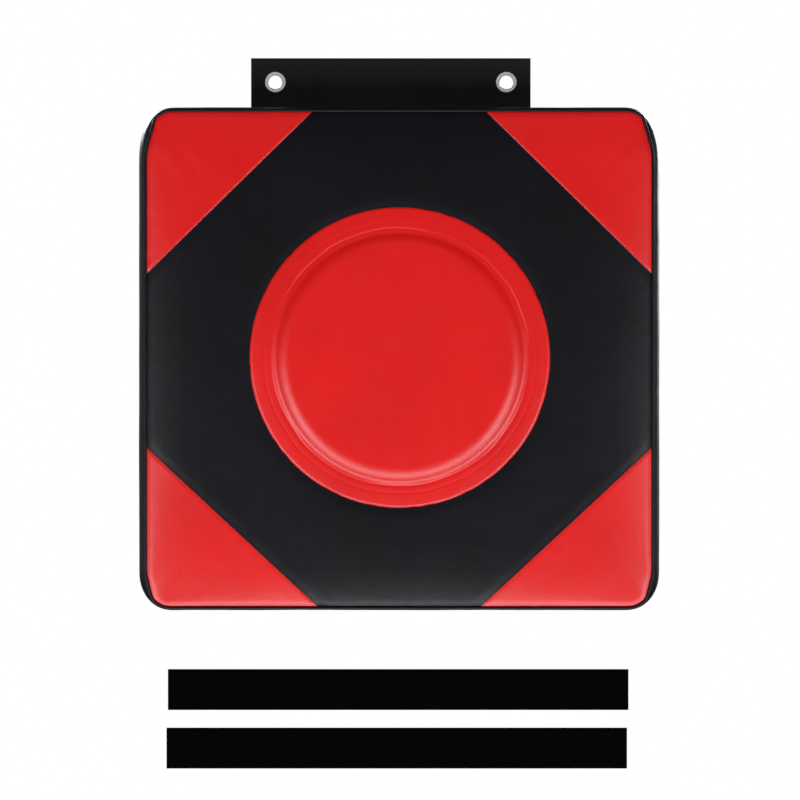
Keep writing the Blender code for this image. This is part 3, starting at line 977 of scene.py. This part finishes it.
def eyelet_ring(node, nickel):
    """The eyelet's front: a domed flange, a groove, an inner lip and the barrel behind."""
    outer, top = size_of(node).x / 2, depths_of(node)[1]
    seat = depths_of("hanger_flap_front_layer")[1]
    hole, barrel = EYELET_HOLE, EYELET_HOLE + EYELET_WALL
    crest = (outer + hole + GROOVE_OUT) / 2
    foot = seat + DOME_DROP
    dome = arc_section((crest, foot), (outer - crest, top - foot), 0, 165, 14)
    roll = arc_section((hole + LIP_OUT, seat), (LIP_OUT, top - seat - LIP_DROP), 20, 180, 9)
    section = dome + roll + [
        (hole, EYELET_END), (barrel, EYELET_END), (barrel, seat), (outer, seat),
    ]
    obj = turned(node + "_ring", middle_of(node), section, nickel)
    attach(obj, "hanger")
    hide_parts(node)


def eyelet_washer(node, centre, nickel):
    low, high = depths_of(node)
    inner, outer = EYELET_HOLE + EYELET_WALL + WASHER_PLAY, size_of(node).x / 2
    section = [
        (inner, high), (inner, low + WASHER_BEVEL), (inner + WASHER_BEVEL, low),
        (outer - WASHER_BEVEL, low), (outer, low + WASHER_BEVEL), (outer, high),
    ]
    obj = turned(node + "_ring", centre, section, nickel)
    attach(obj, "hanger")
    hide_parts(node)


def eyelets(nickel):
    for side in ("left", "right"):
        eyelet_ring(f"eyelet_{side}", nickel)
        eyelet_washer(f"eyelet_washer_{side}", middle_of(f"eyelet_{side}"), nickel)


# ---- the back and its zip

ZIP_Z = middle_of("zip_slider").z - PAD_Z
ZIP_X = middle_of("zip_coil_upper").x - PAD_X
ZIP_HALF = size_of("zip_coil_upper").x / 2
SLIT_HALF = (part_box("back_panel_upper")[0].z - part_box("back_panel_lower")[1].z) / 2
BACK_ROLL = 11 * MM
BACK_SEAM = REAR_PIPING - 0.9 * MM
SLIT_PINCH, SLIT_REACH = 0.45 * MM, 1.4 * MM
BACK_PUCKER, BACK_UNEVEN = 0.15 * MM, 0.1 * MM
BACK_EDGE_DROP = 0.1 * MM
BACK_THREAD_SINK = 0.25 * MM
ZIP_ROW = 2.2 * MM  # the stitching beside the slit, from its edge
WIRE = 0.33 * MM
COIL_PITCH = 1.25 * MM
COIL_SHIFT = 0.1 * MM  # towards the other coil, so that their turns interlock
COIL_STEPS = 10
COIL_SIDES = 5
ZIP_TAPE_DROP = 0.05 * MM
SLIDER_BEVEL, PULL_BEVEL = 0.25 * MM, 0.22 * MM
METAL_MERGE = 0.01 * MM
# Turns between faces below the first are flattened, and those above the second are rounded
METAL_FLAT, METAL_EDGE = math.radians(1), math.radians(30)


def back_depth(points):
    """Depth of the back's outside: flat behind the pad, rolled up to the rear piping."""
    inside = distance_to(BACK_EDGE_TREE, points)
    roll = quarter_round(inside / BACK_ROLL)
    slit = np.abs(points[:, 1] - ZIP_Z) - SLIT_HALF
    depth = BACK_DEPTH + (BACK_SEAM - BACK_DEPTH) * (1 - roll)
    depth += SLIT_PINCH * np.exp(-np.clip(slit, 0, 1) / SLIT_REACH)
    near = np.exp(-inside / PUCKER_REACH)
    depth += BACK_PUCKER * near * wander(*points.T, 8 * MM, seed=7.7)
    return depth + BACK_UNEVEN * (1 + wander(*points.T, 50 * MM, seed=3.3))


def back(black, thread):
    def rear_inside(points):
        return back_depth(points) + LEATHER

    for side, sign in (("upper", 1), ("lower", -1)):
        node = f"back_panel_{side}"
        panel = clip(BACK_EDGE, lambda p, s=sign: SLIT_HALF - s * (p[:, 1] - ZIP_Z))
        obj = sheet_mesh(node + "_skin", [panel], rear_inside, back_depth, black,
                         BACK_EDGE_DROP)
        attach(obj, "pad")
        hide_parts(node)
        y, z = -BACK_DEPTH - BACK_THREAD_SINK, PAD_Z + ZIP_Z + sign * (SLIT_HALF + ZIP_ROW)
        left, right = (PAD_X + ZIP_X + end * ZIP_HALF for end in (-1, 1))
        places = along_line((left, y, z), (right, y, z), STITCH_PITCH, OUT_BACK)
        stitches(f"zip_stitching_{side}", places, thread, "pad")


def tube(name, path, radius, sides, mat):
    """A round rod along the path, whose frames are kept square to the X axis."""
    path = np.asarray(path)
    tangent = np.gradient(path, axis=0)
    tangent /= np.linalg.norm(tangent, axis=1)[:, None]
    first = np.cross(tangent, (1, 0, 0))
    first /= np.linalg.norm(first, axis=1)[:, None]
    second = np.cross(tangent, first)
    ring = circle(0, 0, radius, sides)
    verts = [p + a * u + b * v for p, u, v in zip(path, first, second) for a, b in ring]
    return outward(new_object(name, verts, rod_faces(len(path), sides), mat))


def zip_half_coil(side, sign, mat):
    node = f"zip_coil_{side}"
    low, high = depths_of(node)
    reach = size_of(node).z / 2 + COIL_SHIFT - WIRE
    turns = int(2 * ZIP_HALF / COIL_PITCH)
    t = np.arange(turns * COIL_STEPS) / COIL_STEPS
    # The two coils are half a turn apart
    angle = 2 * math.pi * (t + (0.25 if sign > 0 else 0.75))
    x = PAD_X + ZIP_X - ZIP_HALF + (t + 0.5) * COIL_PITCH
    z = middle_of(node).z + sign * (reach * np.cos(angle) - COIL_SHIFT)
    depth = (low + high) / 2 + ((high - low) / 2 - WIRE) * np.sin(angle)
    obj = tube(node + "_spiral", np.column_stack([x, -depth, z]), WIRE, COIL_SIDES, mat)
    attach(obj, "pad")
    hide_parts(node)


def zip_half_tape(side, mat):
    node = f"zip_tape_{side}"
    near, far = depths_of(node)
    outline = node_outline(node)
    obj = sheet_mesh(node + "_weave", [outline], level(far), level(near), mat,
                     ZIP_TAPE_DROP, TAPE_MESH)
    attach(obj, "pad")
    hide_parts(node)


def zip_closure(tape, coil, nickel):
    for side, sign in (("upper", 1), ("lower", -1)):
        zip_half_coil(side, sign, coil)
        zip_half_tape(side, tape)
    rounded_copy("zip_slider", SLIDER_BEVEL, nickel, "zip_slider")
    rounded_copy("zip_pull_tab", PULL_BEVEL, nickel, "zip_pull")


def rounded_copy(node, width, mat, body):
    """The node's own solid with its edges rounded."""
    source = bpy.data.objects[node]
    mesh = source.data.copy()
    mesh.transform(source.matrix_world)
    obj = bpy.data.objects.new(node + "_metal", mesh)
    bpy.context.scene.collection.objects.link(obj)
    bm = bmesh.new()
    bm.from_mesh(mesh)
    bmesh.ops.remove_doubles(bm, verts=bm.verts, dist=METAL_MERGE)
    bmesh.ops.dissolve_limit(bm, angle_limit=METAL_FLAT, verts=bm.verts, edges=bm.edges)
    edges = [e for e in bm.edges if e.calc_face_angle(0) > METAL_EDGE]
    bmesh.ops.bevel(bm, geom=edges, offset=width, segments=3, profile=0.5, affect="EDGES",
                    clamp_overlap=True)
    bm.to_mesh(mesh)
    bm.free()
    finish_mesh(obj, mat, 40)
    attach(obj, body)
    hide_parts(node)


# ---- hook and loop strips

HOOK_PITCH = 2.0 * MM
HOOK_WIDTH = 0.34 * MM
HOOK_BASE = 0.5 * MM
# A hook's middle line, sideways and up, and half its thickness there, as shares of its height
HOOK_SPINE = np.array([(0.0, -0.06), (0.0, 0.55), (0.12, 0.86), (0.42, 1.0), (0.66, 0.84)])
HOOK_THICK = np.array([0.30, 0.24, 0.22, 0.2, 0.13]) / 2
LOOP_BASE = 0.75 * MM
LOOP_LAP = 0.1 * MM
FILM_LAP = 0.25 * MM
FILM_SIZE = 0.998  # of the backing's own outline
FILM_EDGE_DROP, FILM_MESH = 0.05 * MM, 2
STRIP_EDGE = 1.6 * MM
TAPE_EDGE_DROP = 0.08 * MM


def strip_base(node, near, far, mat, body):
    """A strip's plain tape, before its hooks or loops."""
    obj = sheet_mesh(node + "_tape", [node_outline(node)], level(far), level(near), mat,
                     TAPE_EDGE_DROP, TAPE_MESH)
    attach(obj, body)
    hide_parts(node)


def hooks(node, base, top, mat, body):
    """Rows of small moulded hooks, each a flat blade that curls over sideways."""
    low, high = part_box(node)
    across = right_of(np.gradient(HOOK_SPINE, axis=0))
    rise, half = top - base, HOOK_WIDTH / 2
    template = []
    for (a, d), w, (na, nd) in zip(HOOK_SPINE, HOOK_THICK, across):
        for side, t in ((1, 1), (-1, 1), (-1, -1), (1, -1)):
            template.append((t * half, -(d + side * nd * w) * rise, (a + side * na * w) * rise))
    rows = np.arange(low.z + STRIP_EDGE, high.z - STRIP_EDGE / 2, HOOK_PITCH)
    columns = np.arange(low.x + STRIP_EDGE, high.x - STRIP_EDGE, HOOK_PITCH)
    origins, frames = [], []
    for i, z in enumerate(rows):
        lean = 1 if i % 2 else -1
        for x in columns:
            origins.append((x + (i % 2) * HOOK_PITCH / 2, -base, z))
            frames.append(np.diag([1, 1, lean]))
    copies(node + "_hooks", np.array(template), rod_faces(len(HOOK_SPINE), 4), np.array(origins),
           np.array(frames), mat, body, sharp=40)


PILE_COUNT = 3000
PILE_RADIUS = 0.085 * MM
PILE_LOOP = 0.6 * MM
PILE_HEIGHT = 0.85  # as a share of the pile's depth
PILE_BEND = np.linspace(-0.15, 1.15, 6) * math.pi
PILE_TILT = 0.4
PILE_SIZES = (0.75, 1.1)
PILE_SEEDS = {"upper": 11, "lower": 12}


def pile(node, base, top, mat, body, seed):
    """The soft side: many small loops of thread standing off the tape towards the wall."""
    rng = np.random.default_rng(seed)
    low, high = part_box(node)
    height = PILE_HEIGHT * (base - top)
    template = [
        (math.cos(bend) * (PILE_LOOP + reach), (height + reach) * math.sin(bend), z)
        for bend in PILE_BEND
        for reach, z in circle(0, 0, PILE_RADIUS, 3)
    ]
    x = rng.uniform(low.x + STRIP_EDGE, high.x - STRIP_EDGE, PILE_COUNT)
    z = rng.uniform(low.z + STRIP_EDGE, high.z - STRIP_EDGE, PILE_COUNT)
    origins = np.column_stack([x, np.full(PILE_COUNT, -base), z])
    heading = rng.uniform(0, 2 * math.pi, PILE_COUNT)
    tilt = rng.uniform(-PILE_TILT, PILE_TILT, PILE_COUNT)
    none = np.zeros(PILE_COUNT)
    along = np.column_stack([np.cos(heading), none, np.sin(heading)])
    across = np.column_stack([-np.sin(heading), none, np.cos(heading)])
    up = np.column_stack([none, none + 1, none]) + across * tilt[:, None]
    size = rng.uniform(*PILE_SIZES, PILE_COUNT)[:, None]
    frames = np.stack([along * size, up * np.minimum(size, 1), across], axis=1)
    copies(node + "_pile", np.array(template), rod_faces(len(PILE_BEND), 3), origins, frames,
           mat, body)


def hook_strip(node, mat):
    near, far = depths_of(node)
    strip_base(node, near, near + HOOK_BASE, mat, node)
    hooks(node, near + HOOK_BASE, far, mat, node)


def adhesive_backing(node, body, mat):
    """The film behind a hook strip, reaching a little into its tape so that no gap shows."""
    low, high = depths_of(node)
    outline = node_outline(node)
    middle = outline.mean(axis=0)
    outline = middle + (outline - middle) * FILM_SIZE
    obj = sheet_mesh(node + "_film", [outline], level(high + FILM_LAP), level(low), mat,
                     FILM_EDGE_DROP, FILM_MESH)
    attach(obj, body)
    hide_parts(node)


def loop_strip(node, mat, thread, seed):
    near, far = depths_of(node)
    base = near + LOOP_BASE
    strip_base(node, base, far + LOOP_LAP, mat, "pad")
    pile(node, base, near, mat, "pad", seed)
    low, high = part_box(node)
    places = around(low.x + STRIP_EDGE, high.x - STRIP_EDGE, low.z + STRIP_EDGE,
                    high.z - STRIP_EDGE, base, STITCH_PITCH, OUT_BACK)
    stitches(node.replace("strip", "stitching"), places, thread, "pad")


def strips(hook_tape, loop_tape, adhesive, thread):
    for side, seed in PILE_SEEDS.items():
        strip, backing = f"hook_strip_{side}", f"adhesive_backing_{side}"
        hook_strip(strip, hook_tape)
        adhesive_backing(backing, strip, adhesive)
        loop_strip(f"loop_strip_{side}", loop_tape, thread, seed)


# ---- materials


def linear(rgb):
    def channel(c):
        c /= 255
        return c / 12.92 if c <= 0.04045 else ((c + 0.055) / 1.055) ** 2.4

    return (*map(channel, rgb), 1)


class Nodes:
    """A material's node tree, with short calls for the nodes that the looks below use."""

    def __init__(self, name):
        self.material = bpy.data.materials.new(name)
        self.material.use_nodes = True
        self.tree = self.material.node_tree
        self.shader = self.tree.nodes["Principled BSDF"]
        self.place = self.add("ShaderNodeTexCoord").outputs["Object"]

    def add(self, kind, **settings):
        node = self.tree.nodes.new(kind)
        for key, value in settings.items():
            setattr(node, key, value)
        return node

    def plug(self, value, socket):
        """Sets an input to a value, or links another node's output to it."""
        if isinstance(value, bpy.types.NodeSocket):
            self.tree.links.new(value, socket)
        else:
            socket.default_value = value

    def wire(self, node, output, **inputs):
        """Plugs in a node's inputs by their names, and returns the named output."""
        for key, value in inputs.items():
            self.plug(value, node.inputs[key.replace("_", " ")])
        return node.outputs[output]

    def noise(self, size, detail=3, rough=0.5):
        """Noise whose features are about size metres across."""
        return self.wire(self.add("ShaderNodeTexNoise"), "Fac", Vector=self.place,
                         Scale=1 / size, Detail=detail, Roughness=rough)

    def cells(self, size, feature="F1"):
        return self.wire(self.add("ShaderNodeTexVoronoi", feature=feature), "Distance",
                         Vector=self.place, Scale=1 / size)

    def bands(self, pitch, axis):
        """Bands that far apart. At a scale of 1 the texture's are 2 pi / 20 apart."""
        return self.wire(self.add("ShaderNodeTexWave", bands_direction=axis), "Fac",
                         Vector=self.place, Scale=2 * math.pi / (20 * pitch),
                         Distortion=0.6, Detail=1, Detail_Scale=0.5)

    def math(self, operation, a, b):
        node = self.add("ShaderNodeMath", operation=operation)
        self.plug(a, node.inputs[0])
        self.plug(b, node.inputs[1])
        return node.outputs["Value"]

    def set(self, **values):
        self.wire(self.shader, "BSDF", **values)

    def colours(self, source, *stops):
        node = self.add("ShaderNodeValToRGB")
        elements = node.color_ramp.elements
        while len(elements) < len(stops):
            elements.new(0.5)
        for element, (at, rgb) in zip(elements, stops):
            element.position = at
            element.color = linear(rgb)
        self.set(Base_Color=self.wire(node, "Color", Fac=source))

    def rough(self, source, low, high):
        """Roughness from low to high as source goes from 0 to 1."""
        node = self.add("ShaderNodeMapRange")
        self.set(Roughness=self.wire(node, "Result", Value=source, To_Min=low, To_Max=high))

    def bump(self, *layers):
        """Each layer is a height from 0 to 1 and its depth in metres."""
        normal = {}
        for height, depth in layers:
            node = self.add("ShaderNodeBump")
            normal["Normal"] = self.wire(node, "Normal", Height=height, Distance=depth,
                                         Strength=1, **normal)
        self.set(**normal)


def leather(name, dark, main, light, low_rough, high_rough, shine=0.5):
    """Smooth coated leather: fine pebble grain, faint mottling and rubbed patches."""
    n = Nodes(name)
    n.colours(n.noise(0.07, 4), (0.30, dark), (0.52, main), (0.75, light))
    n.rough(n.noise(0.016, 5, 0.6), low_rough, high_rough)
    n.set(Specular_IOR_Level=shine)
    n.bump(
        (n.noise(0.006, 3), 0.10 * MM),
        (n.cells(0.9 * MM, "SMOOTH_F1"), 0.035 * MM),
        (n.noise(0.35 * MM, 2), 0.010 * MM),
    )
    return n.material


def coarse_cloth(name, dark, light, pitch, depth, rough=0.85, sheen=0.3, fuzz=0.0):
    """Woven or knitted tape: crossed threads, with fuzz over them."""
    n = Nodes(name)
    weave = n.math("MULTIPLY", n.bands(pitch, "X"), n.bands(pitch, "Z"))
    wear = n.math("MULTIPLY", n.noise(8 * MM), 0.3)
    n.colours(n.math("ADD", n.math("MULTIPLY", weave, 0.7), wear), (0.2, dark), (0.8, light))
    n.rough(n.noise(4 * MM), rough - 0.1, min(rough + 0.1, 1))
    n.set(Sheen_Weight=sheen, Sheen_Roughness=0.5, Specular_IOR_Level=0.05)
    layers = [(weave, depth)]
    if fuzz:
        layers.append((n.noise(0.5 * MM, 4, 0.7), fuzz))
    n.bump(*layers)
    return n.material


def metal(name):
    """Plated nickel with faint scratches and dulled patches."""
    n = Nodes(name)
    n.colours(n.noise(3 * MM, 4), (0.3, (228, 227, 225)), (0.7, (242, 241, 239)))
    n.rough(n.noise(1.5 * MM, 5, 0.7), 0.22, 0.38)
    n.set(Metallic=0.12)
    n.bump((n.noise(0.4 * MM, 3), 0.006 * MM))
    return n.material


def foam_look(name, dark, light, pore):
    """Open foam: pores of a few sizes."""
    n = Nodes(name)
    n.colours(n.cells(pore), (0.1, dark), (0.6, light))
    n.rough(n.noise(5 * MM), 0.85, 0.98)
    n.set(Specular_IOR_Level=0.2, Subsurface_Weight=0.1, Subsurface_Scale=0.002)
    n.bump((n.cells(pore), 0.35 * MM), (n.noise(pore / 2, 3), 0.1 * MM))
    return n.material


def thread_look(name, dark, light):
    n = Nodes(name)
    n.colours(n.noise(1 * MM), (0.3, dark), (0.7, light))
    n.rough(n.noise(2 * MM), 0.55, 0.75)
    n.bump((n.bands(0.25 * MM, "DIAGONAL"), 0.05 * MM))
    return n.material


def film_look(name):
    """Adhesive film under a pale paper liner."""
    n = Nodes(name)
    n.colours(n.noise(12 * MM, 4), (0.3, (214, 208, 192)), (0.7, (228, 223, 210)))
    n.rough(n.noise(6 * MM), 0.4, 0.6)
    n.bump((n.noise(1.2 * MM, 4), 0.03 * MM))
    return n.material


# ---- camera, light and floor

VIEW_WIDTH = 616.6 * MM  # what the frame takes in, at the pad
VIEW_X, VIEW_Z = 7.1 * MM, -244.7 * MM
CAMERA_DISTANCE = 11.0
CAMERA_RISE = math.radians(1.5)
SENSOR = 36  # the camera's own unit, which isn't the metre


def camera():
    """A long lens, a little above the pad and looking down at it."""
    data = bpy.data.cameras.new("camera")
    data.sensor_width = SENSOR
    data.lens = SENSOR * CAMERA_DISTANCE / VIEW_WIDTH
    data.clip_end = 100
    obj = bpy.data.objects.new("camera", data)
    bpy.context.scene.collection.objects.link(obj)
    aim = Vector((VIEW_X, -(FRONT_PIPING + REAR_PIPING) / 2, VIEW_Z))
    back = Vector((0, -math.cos(CAMERA_RISE), math.sin(CAMERA_RISE)))
    obj.location = aim + CAMERA_DISTANCE * back
    obj.rotation_euler = (-back).to_track_quat("-Z", "Y").to_euler()
    bpy.context.scene.camera = obj


LIGHT_TINT = (0.96, 0.97, 1.0)
WORLD_LIGHT = 0.07
# Name, place, width, height, watts, and whether shiny surfaces mirror it
LIGHTS = (
    ("low_left", (-0.9, -1.15, -0.62), 0.45, 0.9, 7, True),
    ("low_right", (0.9, -1.15, -0.62), 0.45, 0.9, 7, True),
    ("below", (0, -0.95, -1.0), 1.2, 0.35, 6.8, True),
    ("front", (0, -3.0, 1.6), 2.4, 1.6, 55, False),
    ("side_left", (-2.6, 0.15, 0.3), 0.8, 1.4, 6, True),
    ("side_right", (2.6, 0.15, 0.3), 0.8, 1.4, 6, True),
    ("back_left", (-1.5, 2.4, 1.2), 1.4, 1.4, 70, True),
    ("back_right", (1.5, 2.4, 0.8), 1.4, 1.4, 70, True),
)


def softbox(name, place, width, height, power, mirrored):
    """A rectangular light at that place from the pad's centre, facing the pad."""
    data = bpy.data.lights.new(name, "AREA")
    data.shape = "RECTANGLE"
    data.size, data.size_y = width, height
    data.energy = power
    data.color = LIGHT_TINT
    obj = bpy.data.objects.new(name, data)
    bpy.context.scene.collection.objects.link(obj)
    obj.location = Vector((PAD_X, 0, PAD_Z)) + Vector(place)
    obj.rotation_euler = (-Vector(place)).to_track_quat("-Z", "Y").to_euler()
    obj.visible_glossy = mirrored


def backdrop():
    """White to the camera, and a little light from all round for everything else."""
    world = bpy.data.worlds.new("studio")
    world.use_nodes = True
    bpy.context.scene.world = world
    tree = world.node_tree
    tree.nodes.clear()
    mix, out = (tree.nodes.new(f"ShaderNode{kind}") for kind in ("MixShader", "OutputWorld"))
    camera_ray = tree.nodes.new("ShaderNodeLightPath").outputs["Is Camera Ray"]
    tree.links.new(camera_ray, mix.inputs[0])
    for i, strength in ((1, WORLD_LIGHT), (2, 1)):
        white = tree.nodes.new("ShaderNodeBackground")
        white.inputs["Color"].default_value = (1, 1, 1, 1)
        white.inputs["Strength"].default_value = strength
        tree.links.new(white.outputs[0], mix.inputs[i])
    tree.links.new(mix.outputs[0], out.inputs[0])


def studio():
    for light in LIGHTS:
        softbox(*light)
    backdrop()
    bpy.context.scene.view_settings.view_transform = "Standard"


FLOOR_Z = -600 * MM  # low enough to stay out of the camera's view
FLOOR_RADIUS = 750 * MM
FLOOR_THICKNESS = 10 * MM


def floor():
    """A plain pale disc under the object."""
    n = Nodes("floor")
    n.colours(n.noise(0.4), (0.3, (246, 246, 246)), (0.7, (250, 250, 250)))
    n.rough(n.noise(0.1), 0.7, 0.8)
    n.bump((n.noise(2 * MM), 0.02 * MM))
    outline = circle(0, -FLOOR_RADIUS / 5, FLOOR_RADIUS, 120)
    verts = [(x, y, z) for z in (FLOOR_Z, FLOOR_Z - FLOOR_THICKNESS) for x, y in outline]
    count = len(outline)
    faces = [tuple(range(count)), tuple(reversed(range(count, 2 * count)))]
    faces += grid_faces(2, count)
    obj = outward(new_object("floor", verts, faces, n.material, FOLD_ANGLE))
    # Three of the lights stand lower than the floor, so it takes no part in the lighting.
    obj.visible_shadow = False
    obj.visible_diffuse = False
    obj.visible_glossy = False


# ---- the object

red = leather("red_leather", (214, 7, 7), (221, 9, 9), (227, 12, 12), 0.32, 0.40, 0.85)
black = leather("black_leather", (9, 8, 13), (11, 10, 16), (14, 13, 20), 0.34, 0.42, 0.42)
flap_leather = leather("flap_leather", (17, 16, 18), (20, 19, 21), (24, 23, 25), 0.5, 0.62)
thread = thread_look("thread", (12, 11, 13), (26, 25, 28))
# Pale pink: partly the thread's own colour and partly a painted highlight for the light on the
# red's rolled seam edge
seam_highlight_thread = thread_look("seam_highlight_thread", (150, 62, 66), (196, 104, 108))
nickel = metal("nickel")
sponge = foam_look("sponge", (188, 182, 160), (226, 221, 202), 0.9 * MM)
firm_foam = foam_look("firm_foam", (70, 70, 72), (104, 104, 106), 0.7 * MM)
hook_tape = coarse_cloth("hook_tape", (0, 0, 0), (2, 2, 2), 0.7 * MM, 0.06 * MM, 0.8, 0.0)
loop_tape = coarse_cloth("loop_tape", (14, 14, 15), (34, 34, 36), 0.8 * MM, 0.1 * MM, 0.9,
                         0.5, 0.15 * MM)
adhesive = film_look("adhesive")
zip_tape = coarse_cloth("zip_tape", (10, 10, 11), (26, 26, 28), 0.6 * MM, 0.08 * MM)
zip_coil = thread_look("zip_coil", (16, 16, 17), (30, 30, 32))

swell = simulated_swell()
camera()
studio()
floor()
foam(sponge, firm_foam)
front_panels(red, black)
seam_threads(seam_highlight_thread)
target_skin(red)
pad_sides(black)
flap(flap_leather)
flap_thread(thread)
eyelets(nickel)
back(black, thread)
zip_closure(zip_tape, zip_coil, nickel)
strips(hook_tape, loop_tape, adhesive, thread)
